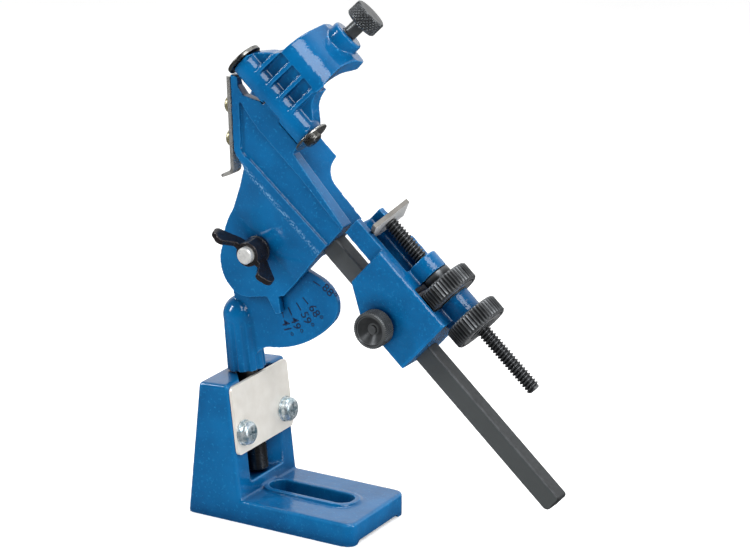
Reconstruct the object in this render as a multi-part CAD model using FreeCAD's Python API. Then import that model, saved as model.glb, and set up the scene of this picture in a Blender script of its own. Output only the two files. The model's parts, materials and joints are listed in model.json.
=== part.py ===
"""Drill bit sharpener: a drill-grinding attachment that stands beside a bench grinder.

Frame: millimetres. Origin at the centre of the bench slot, on the bench.
+X points to the free end of the foot, +Z up, and the operator stands on the -Y side.

Two tilted frames carry most of the shapes:
  post frame  z runs up the leaning post, x points forwards across the clamp plate
  arm frame   x = u, down the drill towards the tail; y = w, up out of the trough;
              z = n, towards the operator. Its origin is the tilt pivot.
"""
import FreeCAD, Part
import math
import os
from FreeCAD import Placement, Rotation, Vector

# ---- base casting --------------------------------------------------------------
FOOT_BACK = -64.0
FOOT_FRONT = 44.0
HALF_WIDTH = 30.0
FOOT_THICK = 13.5
FOOT_CORNER = 6.0
FOOT_EDGE = 1.6
FOOT_HOLLOW = 1.6
FOOT_RAIL = 8.0
SLOT_LENGTH = 54.0
SLOT_RADIUS = 7.0
SLOT_RIM = 3.5
SLOT_RIM_HEIGHT = 1.5
POST_LEAN = 6.5
BACK_LEAN = 6.2
TOP_TILT = 4.0
FACE_X = -28.4
FACE_LENGTH = 67.8
UPRIGHT_EDGE = 2.0
VEE_HALF_WIDTH = 18.0
VEE_DEPTH = 13.6
VEE_SILL = 7.5

# ---- clamp plate and its two screws -----------------------------------------------
PLATE_WIDTH = 58.0
PLATE_HEIGHT = 40.0
PLATE_THICK = 1.8
PLATE_CORNER = 3.0
PLATE_DROP = 1.5
PLATE_SCREW_Y = 21.8
PLATE_SCREW_DROP = 28.2
PLATE_WASHER_R = 7.3
PLATE_WASHER_THICK = 1.2
M6_R = 3.0
PLATE_HEAD_R = 6.8
PLATE_HEAD_HEIGHT = 4.8
PLATE_SCREW_DEPTH = 15.0

# ---- post ---------------------------------------------------------------------------
POST_R = 6.0
POST_INSET = 6.05
POST_BOTTOM = 9.0
POST_TOP = 104.5
GROOVE_MIDDLE = 90.0
GROOVE_WIDTH = 3.4
GROOVE_R = 4.6

# ---- swivel bracket -----------------------------------------------------------------
RUN = 0.05
BARREL_BOTTOM = 69.2
BARREL_TOP = 112.0
BARREL_R = 10.9
FLUTE_TOP = 99.0
FLUTE_TOP_R = 10.0
FLUTE_COUNT = 10
FLUTE_R = 1.7
BORE_TOP = 105.5
PIVOT = Vector(-28.7, -8.5, 155.5)
QUADRANT_FRONT = -4.5
QUADRANT_BACK = -8.5
QUADRANT_R = 58.0
PIVOT_DISC_R = 24.0
SET_SCREW_R = 2.5
PIVOT_BOLT_R = 4.7
PIVOT_BOLT_END = 14.5
BOLT_HEAD_R = 7.5
BOLT_HEAD_HEIGHT = 5.3
WASHER_R = 8.0
WASHER_THICK = 1.6
NUT_HUB_R = 8.0
NUT_HUB_TOP_R = 6.9
NUT_HUB_HEIGHT = 9.5
WING_THICK = 3.4
NUT_TURN = 8.5

# ---- arm frame ----------------------------------------------------------------------
TILT = 41.8
FLANGE_THICK = 4.3
HOLDER_END = 28.5
HOLDER_FACE = 7.5
HOLDER_FRONT_X = -38.8
HOLDER_FRONT_FOOT = 212.5
HOLDER_FRONT_LEAN = 2.0
SLOPE_BASE = 5.5
SLOPE_TOP = 34.0
POCKET_DEPTH = 1.8
VEE_APEX = Vector(0, 53.0, -4.0)
VEE_TURN = 20.0
NEAR_WALL_INNER = 2.5
HINGE_WALL_TOP = 69.9
BODY_FAR = -25.8
BODY_NARROW = -13.0
BODY_UNDER = 27.0
POINTER_REACH = 37.5
POINTER_ANGLE = 70.0

# ---- slide bar ------------------------------------------------------------------------
BAR_MIDDLE_W = 38.5
BAR_MIDDLE_N = -4.0
BAR_HEIGHT = 12.0
BAR_THICK = 9.5
BAR_START = -20.0
BAR_END = 214.0
BAR_GAP = 0.1
BAR_CORNER = 0.8
BAR_SCREW_U = (-6.0, 14.0)
M5_R = 2.5

# ---- clamp arm and its hinge ------------------------------------------------------------
HINGE_W = 78.2
HINGE_N = 5.0
HINGE_FROM = -74.0
HINGE_TO = -19.5
HINGE_BARREL_R = 8.0
KNUCKLE_R = 6.3
KNUCKLE_FROM = -50.0
KNUCKLE_TO = -37.0
KNUCKLE_GAP = 0.4
SKIRT_ANGLE = -25.0
HINGE_PIN_R = 3.0
PIN_HEAD_R = 10.4
PIN_HEAD_THICK = 2.0
HINGE_WASHER_R = 10.4
HINGE_WASHER_THICK = 1.2
HINGE_SCREW_R = 2.0
HINGE_SCREW_HEAD_R = 5.0
HINGE_SCREW_HEAD = 3.0
CLAMP_MIDDLE = -49.0
RIB_PITCH = 9.4
RIB_WIDTH = 2.5
RIB_COUNT = 4
BOSS_R = 9.5
BOSS_FROM = 62.0
BOSS_TO = 70.0
CLAMP_SCREW_R = 4.0
CLAMP_KNOB_FROM = 78.0
CLAMP_KNOB_R = 9.6
CLAMP_KNOB_THICK = 9.0
PAD_FROM = 12.5
PAD_THICK = 5.0
PAD_R = 3.9

# ---- lip rest ---------------------------------------------------------------------------
LIP_THICK = 2.0
LIP_WIDTH = 8.0
LIP_OVERHANG = 0.5
LIP_TOP = 41.5
LIP_SCREW_INSET = 4.2
LIP_SCREW_HEIGHTS = (25.0, 6.3)
LIP_SCREW_R = 1.75
LIP_SCREW_DEPTH = 10.0
LIP_HEAD_R = 4.7
LIP_HEAD_HEIGHT = 2.8
LIP_SLOT_TRAVEL = 2.5

# ---- tailstock and feed -------------------------------------------------------------------
FEED_W = 75.0
FEED_N = -4.0
NOSE_FROM = 31.5
BLOCK_FROM = 53.0
BLOCK_TO = 106.2
BLOCK_TOP = 69.0
BLOCK_BOTTOM = 30.5
BLOCK_HALF = 18.0
NOSE_BOTTOM = 57.8
NOSE_HALF = 14.0
NOSE_WALL = 4.2
CHANNEL_FLOOR = 61.0
LUG_R = 8.0
LUG_ONE = (70.0, 80.0)
LUG_TWO = (96.5, 107.9)
WHEEL_SLOT = (80.5, 96.5)
WHEEL_SLOT_FLOOR = 58.0
WHEEL_SLOT_NEAR = 11.2
WHEEL_R = 16.0
WHEEL_THICK = 10.5
WHEEL_HUB_R = 8.0
FEED_WHEEL_FROM = 85.3
LOCK_WHEEL_FROM = 108.7
SCREW_R = 4.0
SCREW_FROM = 42.8
SCREW_TO = 162.0
SHANK_PLATE_THICK = 2.5
SHANK_PLATE_SIDE = 24.0
SHANK_PLATE_TURN = 40.0
SHOULDER_W = 69.4
TONGUE_HALF = 9.0
TONGUE_BOTTOM = 62.5
SPIGOT_R = 2.9
LOCK_KNOB_U = 81.0
LOCK_KNOB_R = 10.2
LOCK_KNOB_FROM = 16.0
LOCK_KNOB_THICK = 9.0
LOCK_SCREW_TIP = 0.9

# ---- frames -------------------------------------------------------------------------------
LEAN_SIN = math.sin(math.radians(POST_LEAN))
LEAN_COS = math.cos(math.radians(POST_LEAN))
POST_FOOT = Vector(FACE_X - POST_INSET * LEAN_COS, 0, FOOT_THICK - POST_INSET * LEAN_SIN)
POST_FRAME = Placement(POST_FOOT, Rotation(Vector(0, 1, 0), -POST_LEAN))
UPRIGHT_PLANE = Placement(PIVOT, Rotation(Vector(1, 0, 0), 90))
ARM_FRAME = Placement(PIVOT, Rotation(Vector(0, 1, 0), TILT) * Rotation(Vector(1, 0, 0), 90))
FRONT_FRAME = Placement(Vector(HOLDER_FRONT_X, PIVOT.y - HOLDER_FACE, HOLDER_FRONT_FOOT),
                        Rotation(Vector(0, 1, 0), -HOLDER_FRONT_LEAN))
ALONG_U = Vector(1, 0, 0)
ALONG_N = Vector(0, 0, 1)
SEAT_AXIS = Vector(0, math.cos(math.radians(VEE_TURN)), -math.sin(math.radians(VEE_TURN)))


# ---- drawing helpers -------------------------------------------------------------------------
def at_n(level):
    """Sketch plane of (u, w) points at one n."""
    return lambda a, b: Vector(a, b, level)


def at_u(level):
    """Sketch plane of (n, w) points at one u."""
    return lambda a, b: Vector(level, b, a)


def at_w(level):
    """Sketch plane of (u, n) points at one w."""
    return lambda a, b: Vector(a, level, b)


def outline(plane, start, *steps):
    """Closed face. A step of 2 numbers is a line's end; of 4, an arc's middle and end."""
    first = plane(*start)
    here = first
    edges = []
    for step in steps:
        end = plane(*step[-2:])
        if len(step) == 4:
            edges.append(Part.Arc(here, plane(*step[:2]), end).toShape())
        else:
            edges.append(Part.makeLine(here, end))
        here = end
    if (here - first).Length > 1e-6:
        edges.append(Part.makeLine(here, first))
    return Part.Face(Part.Wire(edges))


def prism(depth, plane, start, *steps):
    """An outline pushed along a vector."""
    return outline(plane, start, *steps).extrude(depth)


def block(low, high):
    """A box between two corners."""
    return Part.makeBox(high[0] - low[0], high[1] - low[1], high[2] - low[2], Vector(*low))


def rod(radius, start, end):
    """A cylinder between two points."""
    return Part.makeCylinder(radius, (end - start).Length, start, end - start)


def cone(radius_one, radius_two, start, end):
    """A cone between two points."""
    return Part.makeCone(radius_one, radius_two, (end - start).Length, start, end - start)


def at_feed(u):
    """A point on the feed screw's axis."""
    return Vector(u, FEED_W, FEED_N)


def at_hinge(u):
    """A point on the clamp hinge's axis."""
    return Vector(u, HINGE_W, HINGE_N)


def on_seat(distance):
    """A point on the clamp screw's axis, measured from the bottom of the drill seat."""
    apex = Vector(CLAMP_MIDDLE, VEE_APEX.y, VEE_APEX.z)
    return apex + SEAT_AXIS * distance


def edges_where(shape, test):
    """The edges whose middle point passes a test."""
    return [edge for edge in shape.Edges if test(edge.CenterOfMass)]


def rims(shape, radius):
    """The full circles of one radius."""
    return [edge for edge in shape.Edges if edge.Length > radius * 6]


def save(name, shape, frame=None):
    """Place a shape in the row's frame and write its STEP file."""
    placed = shape.removeSplitter()
    if frame is not None:
        placed = placed.transformed(frame.toMatrix(), True)
    assert placed.isValid(), name
    placed.exportStep(os.path.join("parts", name + ".step"))
    return placed


# ---- base ----------------------------------------------------------------------------------------
def stadium(length, radius, bottom, top):
    """A slot-shaped solid along X, centred on the origin."""
    reach = length / 2 - radius
    face = outline(lambda a, b: Vector(a, b, bottom), (-reach, -radius), (reach, -radius),
                   (reach + radius, 0, reach, radius), (-reach, radius),
                   (-reach - radius, 0, -reach, -radius))
    return face.extrude(Vector(0, 0, top - bottom))


def foot():
    """The flat foot with its rounded free end."""
    slab = block((FOOT_BACK + FOOT_CORNER, -HALF_WIDTH, 0), (FOOT_FRONT, HALF_WIDTH, FOOT_THICK))
    corners = edges_where(slab, lambda p: p.x > FOOT_FRONT - 1 and abs(p.z - FOOT_THICK / 2) < 1
                          and abs(p.y) > HALF_WIDTH - 1)
    slab = slab.makeFillet(FOOT_CORNER, corners)
    rim = edges_where(slab, lambda p: p.z > FOOT_THICK - 0.1 and p.x > FOOT_BACK + FOOT_CORNER + 1)
    return slab.makeFillet(FOOT_EDGE, rim)


def upright():
    """The leaning block that carries the post."""
    front = POST_FRAME.multVec(Vector(POST_INSET, 0, FACE_LENGTH))
    root = POST_FRAME.multVec(Vector(POST_INSET, 0, 0))
    slope = math.tan(math.radians(TOP_TILT))
    back_slope = math.tan(math.radians(BACK_LEAN))
    back_x = (FOOT_BACK + back_slope * (front.z - front.x * slope)) / (1 - back_slope * slope)
    back_z = front.z - (front.x - back_x) * slope
    side = lambda a, b: Vector(a, -HALF_WIDTH, b)
    solid = prism(Vector(0, 2 * HALF_WIDTH, 0), side, (FOOT_BACK, 0), (root.x, 0),
                  (root.x, root.z), (front.x, front.z), (back_x, back_z))
    crown = edges_where(solid, lambda p: p.z > FOOT_THICK + 5)
    return solid.makeFillet(UPRIGHT_EDGE, crown)


def vee_channel():
    """The V that the post is clamped into, open at the top and closed by a sill."""
    apex = POST_INSET - VEE_DEPTH
    beyond = 6.0
    half = VEE_HALF_WIDTH * (VEE_DEPTH + beyond) / VEE_DEPTH
    face = outline(lambda a, b: Vector(a, b, VEE_SILL), (apex, 0),
                   (POST_INSET + beyond, -half), (POST_INSET + beyond, half))
    return face.extrude(Vector(0, 0, FACE_LENGTH))


def plate_screw_height():
    return FACE_LENGTH - PLATE_DROP - PLATE_SCREW_DROP


def across_plate(radius, start, end):
    """Two cylinders square to the clamp plate, one at each screw."""
    height = plate_screw_height()
    pair = [rod(radius, Vector(start, y, height), Vector(end, y, height))
            for y in (-PLATE_SCREW_Y, PLATE_SCREW_Y)]
    return Part.makeCompound(pair)


def base_casting():
    solid = foot().fuse(upright())
    solid = solid.fuse(stadium(SLOT_LENGTH + 2 * SLOT_RIM, SLOT_RADIUS + SLOT_RIM, FOOT_THICK - 1,
                               FOOT_THICK + SLOT_RIM_HEIGHT))
    solid = solid.cut(stadium(SLOT_LENGTH, SLOT_RADIUS, -1, FOOT_THICK + 4))
    hollow = block((FOOT_BACK + FOOT_RAIL, FOOT_RAIL - HALF_WIDTH, -1),
                   (FOOT_FRONT + 1, HALF_WIDTH - FOOT_RAIL, FOOT_HOLLOW))
    solid = solid.cut(hollow)
    solid = solid.cut(vee_channel().transformed(POST_FRAME.toMatrix()))
    holes = across_plate(M6_R, POST_INSET - PLATE_SCREW_DEPTH - 1.5, POST_INSET + 3)
    return solid.cut(holes.transformed(POST_FRAME.toMatrix()))


def clamp_plate():
    top = FACE_LENGTH - PLATE_DROP
    plate = block((POST_INSET, -PLATE_WIDTH / 2, top - PLATE_HEIGHT),
                  (POST_INSET + PLATE_THICK, PLATE_WIDTH / 2, top))
    corners = edges_where(plate, lambda p: abs(p.x - POST_INSET - PLATE_THICK / 2) < 0.1)
    plate = plate.makeFillet(PLATE_CORNER, corners)
    return plate.cut(across_plate(M6_R + 0.4, 0, POST_INSET + 10))


def clamp_plate_washers():
    face = POST_INSET + PLATE_THICK
    ring = across_plate(PLATE_WASHER_R, face, face + PLATE_WASHER_THICK)
    return ring.cut(across_plate(M6_R + 0.2, face - 1, face + 5))


def cross_recess(point, axis, half_width, depth):
    """The cross-shaped hole in a screw's head."""
    arm_long = Part.makeBox(2 * half_width, half_width / 2, depth,
                            Vector(-half_width, -half_width / 4, 0))
    arm_wide = Part.makeBox(half_width / 2, 2 * half_width, depth,
                            Vector(-half_width / 4, -half_width, 0))
    cross = arm_long.fuse(arm_wide)
    return cross.transformed(Placement(point, Rotation(Vector(0, 0, -1), axis)).toMatrix())


def pan_head(radius, height, start, axis):
    """A domed screw head with a cross recess."""
    end = start + axis * height
    head = rod(radius, start, end)
    rim = edges_where(head, lambda p: (p - end).Length < 0.1)
    head = head.makeFillet(height * 0.6, rim)
    return head.cut(cross_recess(end + axis * 0.1, axis, radius * 0.5, height * 0.55))


def clamp_plate_screws():
    face = POST_INSET + PLATE_THICK + PLATE_WASHER_THICK
    forwards = Vector(1, 0, 0)
    screws = []
    for y in (-PLATE_SCREW_Y, PLATE_SCREW_Y):
        start = Vector(face, y, plate_screw_height())
        shank = rod(M6_R - RUN, start - forwards * (PLATE_SCREW_DEPTH + 3), start)
        screws.append(shank.fuse(pan_head(PLATE_HEAD_R, PLATE_HEAD_HEIGHT, start, forwards)))
    return Part.makeCompound(screws)


# ---- post and swivel bracket -------------------------------------------------------------------------
def pivot_post():
    post = rod(POST_R, Vector(0, 0, POST_BOTTOM), Vector(0, 0, POST_TOP))
    post = post.makeChamfer(1.0, edges_where(post, lambda p: abs(p.x) < 0.01))
    low = Vector(0, 0, GROOVE_MIDDLE - GROOVE_WIDTH / 2)
    high = Vector(0, 0, GROOVE_MIDDLE + GROOVE_WIDTH / 2)
    return post.cut(rod(POST_R + 1, low, high).cut(rod(GROOVE_R, low, high)))


def barrel():
    """The fluted, domed socket that turns on the post."""
    side = lambda a, b: Vector(a, 0, b)
    height = BARREL_TOP - FLUTE_TOP
    bulge = math.sqrt(0.5)
    face = outline(side, (0, BARREL_BOTTOM), (BARREL_R, BARREL_BOTTOM),
                   (FLUTE_TOP_R, FLUTE_TOP),
                   (FLUTE_TOP_R * bulge, FLUTE_TOP + height * bulge, 0, BARREL_TOP))
    return face.revolve(Vector(0, 0, 0), Vector(0, 0, 1), 360)


def flutes():
    """Shallow grooves round the lower part of the barrel."""
    cutters = []
    for index in range(FLUTE_COUNT):
        turn = math.radians(360 / FLUTE_COUNT * (index + 0.5))
        ring = lambda radius, z: Vector(radius * math.cos(turn), radius * math.sin(turn), z)
        low = ring(BARREL_R + 0.6, BARREL_BOTTOM - 1)
        high = ring(FLUTE_TOP_R + 0.9, FLUTE_TOP - 2)
        cutters.append(rod(FLUTE_R, low, high).fuse(Part.makeSphere(FLUTE_R, high)))
    return Part.makeCompound(cutters)


def polar(radius, angle):
    """A point about the pivot, in the upright plane."""
    turn = math.radians(angle)
    return radius * math.cos(turn), radius * math.sin(turn)


def quadrant():
    """The dial plate behind the drill holder, in the upright plane about the pivot."""
    start = polar(PIVOT_DISC_R, -15)
    return prism(Vector(0, 0, QUADRANT_BACK - QUADRANT_FRONT), at_n(QUADRANT_FRONT), start,
                 polar(37.4, -17.6),
                 polar(45.6, -20.0) + polar(52.0, -24.2),
                 polar(55.9, -29.5) + polar(QUADRANT_R, -38.0),
                 polar(QUADRANT_R, -62.0) + polar(QUADRANT_R, -86.0),
                 (0.0, -59.2) + (-5.5, -65.0),
                 (-13.5, -65.0), (-17.5, -40.0), (-20.0, -26.0),
                 polar(PIVOT_DISC_R, 190),
                 polar(PIVOT_DISC_R, 90) + start)


def set_screw_at(radius, start, end):
    """A cylinder that points at the post from behind, level with its groove."""
    return rod(radius, Vector(-start, 0, GROOVE_MIDDLE), Vector(-end, 0, GROOVE_MIDDLE))


def pivot_hole(radius, low, high):
    """A cylinder on the tilt pivot, between two distances towards the operator."""
    return rod(radius, Vector(0, 0, low), Vector(0, 0, high))


def swivel_bracket():
    socket = barrel().cut(flutes())
    plate = quadrant().transformed(UPRIGHT_PLANE.toMatrix())
    casting = socket.transformed(POST_FRAME.toMatrix()).fuse(plate)
    bore = rod(POST_R + RUN, Vector(0, 0, BARREL_BOTTOM - 1), Vector(0, 0, BORE_TOP))
    bore = bore.fuse(set_screw_at(SET_SCREW_R, BARREL_R + 2, 0))
    casting = casting.cut(bore.transformed(POST_FRAME.toMatrix()))
    hole = pivot_hole(PIVOT_BOLT_R + RUN, -40, 0)
    return casting.cut(hole.transformed(UPRIGHT_PLANE.toMatrix()))


def bracket_set_screw():
    """A grub screw whose dog rides in the post's groove, so the bracket turns but can't lift."""
    body = set_screw_at(SET_SCREW_R - RUN, BARREL_R - 1.0, POST_R + 0.4)
    dog = set_screw_at(1.5, POST_R + 0.5, GROOVE_R + 0.15)
    socket = set_screw_at(1.25, BARREL_R, BARREL_R - 2.5)
    return body.fuse(dog).cut(socket)


def hexagon(radius, depth, plane):
    """A hexagonal prism about the sketch plane's origin."""
    points = [polar(radius, 60 * side) for side in range(6)]
    return prism(depth, plane, *points)


def pivot_bolt():
    """Bolt through the dial plate and the drill holder, with its head at the back."""
    shank = pivot_hole(PIVOT_BOLT_R, QUADRANT_BACK, PIVOT_BOLT_END)
    shank = shank.makeChamfer(0.8, edges_where(shank, lambda p: p.z > PIVOT_BOLT_END - 0.1))
    head = hexagon(BOLT_HEAD_R, Vector(0, 0, -BOLT_HEAD_HEIGHT), at_n(QUADRANT_BACK))
    return shank.fuse(head)


def pivot_washer():
    ring = pivot_hole(WASHER_R, 0.05, WASHER_THICK)
    return ring.cut(pivot_hole(PIVOT_BOLT_R + 0.2, -1, WASHER_THICK + 1))


def wing(side):
    """One wing of the nut, rising outwards from the hub."""
    low = WASHER_THICK + 0.1
    face = outline(lambda a, b: Vector(side * a, -WING_THICK / 2, low + b),
                   (5.2, 1.0), (10.0, 2.6), (19.6, 9.4),
                   (22.2, 13.8, 18.4, 17.4),
                   (14.8, 18.2, 12.4, 15.4), (9.0, 9.6), (5.2, 9.4))
    return face.extrude(Vector(0, WING_THICK, 0))


def wing_nut():
    low = WASHER_THICK + 0.1
    hub = cone(NUT_HUB_R, NUT_HUB_TOP_R, Vector(0, 0, low), Vector(0, 0, low + NUT_HUB_HEIGHT))
    nut = hub.fuse([wing(1), wing(-1)]).cut(pivot_hole(PIVOT_BOLT_R + RUN, 0, 30))
    return nut.rotated(Vector(0, 0, 0), ALONG_N, NUT_TURN)


# ---- drill holder ----------------------------------------------------------------------------------
def flange():
    """The round ear that turns on the pivot, with the pointer that reads the dial."""
    thick = Vector(0, 0, FLANGE_THICK)
    ear = prism(thick, at_n(-FLANGE_THICK), (-41.0, 38.0), (-35.1, 32.9), (-30.6, 20.7),
                (-25.8, 4.2),
                (-22.0, -8.0, -16.8, -16.4),
                (-8.5, -27.0, 3.5, -30.8),
                (10.5, -29.0, 15.8, -23.8),
                (HOLDER_END, -7.5), (HOLDER_END, 38.0))
    turn = TILT - POINTER_ANGLE
    reach = Vector(*polar(POINTER_REACH, turn), 0)
    side = Vector(*polar(1, turn + 90), 0)
    corner = lambda distance, half: (reach * distance + side * half)[0:2]
    pointer = prism(thick, at_n(-FLANGE_THICK), corner(0.5, 5.5), corner(0.5, -5.5),
                    corner(1.0, -1.8), corner(1.0, 1.8))
    return ear.fuse(pointer)


def body_section():
    """The holder's body across the drill: sloped front, tilted V seat and far wing."""
    lean = math.tan(math.radians(45 - VEE_TURN))
    near_w = VEE_APEX.y + (NEAR_WALL_INNER - VEE_APEX.z) / lean
    far_w = VEE_APEX.y + (VEE_APEX.z - BODY_FAR) * lean
    return outline(at_u(-100.0), (-FLANGE_THICK, SLOPE_BASE), (0, SLOPE_BASE),
                   (HOLDER_FACE - 0.5, SLOPE_TOP), (HOLDER_FACE, SLOPE_TOP + 2.0),
                   (HOLDER_FACE, HINGE_WALL_TOP), (NEAR_WALL_INNER, HINGE_WALL_TOP),
                   (NEAR_WALL_INNER, near_w), (VEE_APEX.z, VEE_APEX.y), (BODY_FAR, far_w),
                   (BODY_FAR, far_w - 6.0), (BODY_NARROW, SLOPE_TOP + 12.0),
                   (BODY_NARROW, BODY_UNDER), (-FLANGE_THICK, BODY_UNDER))


def front_point(height):
    """A point of the holder's front face in the arm frame, at a height up that face."""
    point = ARM_FRAME.inverse().multVec(FRONT_FRAME.multVec(Vector(0, 0, height)))
    return point.x, point.y


def body_side():
    """The body's outline from the operator's side."""
    return prism(ALONG_N * 100, at_n(-60), front_point(0), front_point(110.0),
                 (HOLDER_END, 150.0), (HOLDER_END, 0), (-24.5, 0), (-25.8, 4.2), (-30.6, 20.7),
                 (-35.1, 32.9), (-41.0, 34.4), (-43.5, 34.9) + front_point(0))


def near_wall_trim():
    """What is taken off the top of the near wall, so that it dips in front of the hinge."""
    return prism(ALONG_N * 30, at_n(NEAR_WALL_INNER - 5), (-100, 53.0), (-76.5, 65.7),
                 (-71.3, 68.8), (-67.5, 65.2), (-62.0, 64.0), (-52.0, HINGE_WALL_TOP + 0.1),
                 (-52.0, HINGE_WALL_TOP + 9), (-100, HINGE_WALL_TOP + 9))


def tail_wall_trim():
    """What is taken off the near wall behind the hinge, towards the tail."""
    return prism(ALONG_N * 30, at_n(VEE_APEX.z + 1), (-20.5, HINGE_WALL_TOP + 0.1),
                 (-19.5, 63.9), (HOLDER_END + 5, 56.8), (HOLDER_END + 5, HINGE_WALL_TOP + 9),
                 (-20.5, HINGE_WALL_TOP + 9))


def far_wing_trim():
    """What is taken off the far wing, so that it is wide only under the clamp."""
    return prism(Vector(0, 40, 0), at_w(40.0), (-8.2, BODY_FAR - 5), (-8.0, BODY_FAR + 0.3),
                 (-3.6, -18.0, 6.0, -14.2), (HOLDER_END + 5, BODY_NARROW),
                 (HOLDER_END + 5, BODY_FAR - 5))


def face_pocket():
    """The shallow recess in the near face, open at the tail end."""
    return prism(ALONG_N * 10, at_n(HOLDER_FACE - POCKET_DEPTH), (-46.0, 43.5),
                 (-62.0, 60.0), (-50.5, 57.8), (-42.0, 56.9), (-7.0, 57.0),
                 (HOLDER_END + 1, 55.2), (HOLDER_END + 1, 41.5), (-36.0, 39.6),
                 (-43.0, 40.0) + (-46.0, 43.5))


def holder_knuckle():
    """The lug between the clamp arm's two hinge eyes."""
    neck = block((KNUCKLE_FROM, 60.0, NEAR_WALL_INNER), (KNUCKLE_TO, HINGE_W, HOLDER_FACE))
    return neck.fuse(rod(KNUCKLE_R, at_hinge(KNUCKLE_FROM), at_hinge(KNUCKLE_TO)))


def drill_holder():
    body = body_section().extrude(ALONG_U * (HOLDER_END + 100.0)).common(body_side())
    for trim in (near_wall_trim, tail_wall_trim, far_wing_trim, face_pocket):
        body = body.cut(trim())
    holder = body.fuse([flange(), holder_knuckle()])
    holder = holder.cut(rod(HINGE_PIN_R + 0.02, at_hinge(-100), at_hinge(50)))
    holder = holder.cut(pivot_hole(PIVOT_BOLT_R + RUN, -20, 10))
    holder = holder.cut(pivot_hole(WASHER_R + 0.6, 0, 10))
    holder = holder.cut(bar_shape(BAR_GAP, BAR_START - 0.5, 60))
    holder = holder.cut(bar_screws_shape(M5_R, BODY_FAR - 5, 0.5))
    return holder.cut(lip_screws_shape(LIP_SCREW_R, -1, LIP_SCREW_DEPTH + 0.5))


def bar_shape(gap, start, end):
    """The slide bar's cross-section, or its hole when the gap isn't 0."""
    half_height = BAR_HEIGHT / 2 + gap
    half_thick = BAR_THICK / 2 + gap
    return block((start, BAR_MIDDLE_W - half_height, BAR_MIDDLE_N - half_thick),
                 (end, BAR_MIDDLE_W + half_height, BAR_MIDDLE_N + half_thick))


def slide_bar():
    bar = bar_shape(0, BAR_START, BAR_END)
    lower_end = edges_where(bar, lambda p: p.x > BAR_END - 0.1 and p.y < BAR_MIDDLE_W - 1)
    bar = bar.makeFillet(BAR_CORNER * 4, lower_end)
    upper_end = edges_where(bar, lambda p: p.x > BAR_END - 0.1 and p.y > BAR_MIDDLE_W + 5.9)
    bar = bar.makeFillet(BAR_CORNER * 2.5, upper_end)
    sides = edges_where(bar, lambda p: BAR_START + 1 < p.x < BAR_END - 8)
    bar = bar.makeChamfer(BAR_CORNER, sides)
    far_face = BAR_MIDDLE_N - BAR_THICK / 2
    return bar.cut(bar_screws_shape(M5_R, far_face - 1, far_face + 3))


def bar_screws_shape(radius, low, high):
    """Cylinders across the bar at its two fixing screws."""
    screws = [rod(radius, Vector(u, BAR_MIDDLE_W, low), Vector(u, BAR_MIDDLE_W, high))
              for u in BAR_SCREW_U]
    return Part.makeCompound(screws)


def slide_bar_screws():
    """Two cap screws that fix the bar in the holder from its far side."""
    seat = BODY_NARROW
    far_face = BAR_MIDDLE_N - BAR_THICK / 2
    screws = []
    for u in BAR_SCREW_U:
        top = Vector(u, BAR_MIDDLE_W, seat)
        shank = rod(M5_R - RUN, top, Vector(u, BAR_MIDDLE_W, far_face + 2.8))
        head = rod(4.2, top - ALONG_N * 4.5, top)
        socket = hexagon(2.4, ALONG_N * 2.5, lambda a, b: Vector(u + a, BAR_MIDDLE_W + b, seat - 4.6))
        screws.append(shank.fuse(head).cut(socket))
    return Part.makeCompound(screws)


# ---- lip rest, drawn on the holder's front face -------------------------------------------------------
def lip_screws_shape(radius, low, high):
    """Cylinders square to the holder's front face, in the arm frame."""
    pair = [rod(radius, Vector(low, LIP_SCREW_INSET, z), Vector(high, LIP_SCREW_INSET, z))
            for z in LIP_SCREW_HEIGHTS]
    shape = Part.makeCompound(pair).transformed(FRONT_FRAME.toMatrix())
    return shape.transformed(ARM_FRAME.inverse().toMatrix())


def lip_slot(height):
    """The hole that lets the strip slide under one screw."""
    half = LIP_SCREW_R + 0.25
    start = Vector(-LIP_THICK - 1, LIP_SCREW_INSET, height - LIP_SLOT_TRAVEL)
    through = Vector(LIP_THICK + 2, 0, 0)
    slot = block((start.x, start.y - half, start.z),
                 (start.x + through.x, start.y + half, start.z + 2 * LIP_SLOT_TRAVEL))
    ends = [rod(half, start + Vector(0, 0, up), start + through + Vector(0, 0, up))
            for up in (0, 2 * LIP_SLOT_TRAVEL)]
    return slot.fuse(ends)


def lip_rest():
    """Bent spring strip on the holder's front that the drill's cutting lip is set against."""
    back = -0.05
    outer = back - LIP_THICK
    strip = prism(Vector(0, LIP_WIDTH, 0), lambda a, b: Vector(a, -LIP_OVERHANG, b),
                  (back, LIP_TOP), (outer, LIP_TOP), (outer, -9.5),
                  (-2.6, -11.2, -4.0, -11.9), (-7.8, -13.8),
                  (-8.3, -15.0, -7.0, -15.5), (-2.2, -13.6),
                  (-0.5, -12.0, back, -9.5))
    for height in LIP_SCREW_HEIGHTS:
        strip = strip.cut(lip_slot(height))
    return strip


def lip_rest_screws():
    backwards = Vector(-1, 0, 0)
    screws = []
    for z in LIP_SCREW_HEIGHTS:
        start = Vector(-LIP_THICK - 0.1, LIP_SCREW_INSET, z)
        shank = rod(LIP_SCREW_R - RUN, start - backwards * (LIP_SCREW_DEPTH + LIP_THICK), start)
        screws.append(shank.fuse(pan_head(LIP_HEAD_R, LIP_HEAD_HEIGHT, start, backwards)))
    return Part.makeCompound(screws)


# ---- clamp arm --------------------------------------------------------------------------------------------
def goose_neck():
    """The clamp arm's strip, from the hinge up and over the drill."""
    return prism(ALONG_U * 60, at_u(HINGE_FROM - 5), (HINGE_N + 8.0, HINGE_W),
                 (HINGE_N + 6.5, 88.0), (8.0, 96.5),
                 (2.0, 107.5, -9.0, 113.0), (-22.0, 114.8), (-34.6, 111.0), (-33.5, 105.5),
                 (-17.0, 103.5, -5.0, 97.5), (-1.5, 89.0), (-1.8, HINGE_W))


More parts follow.
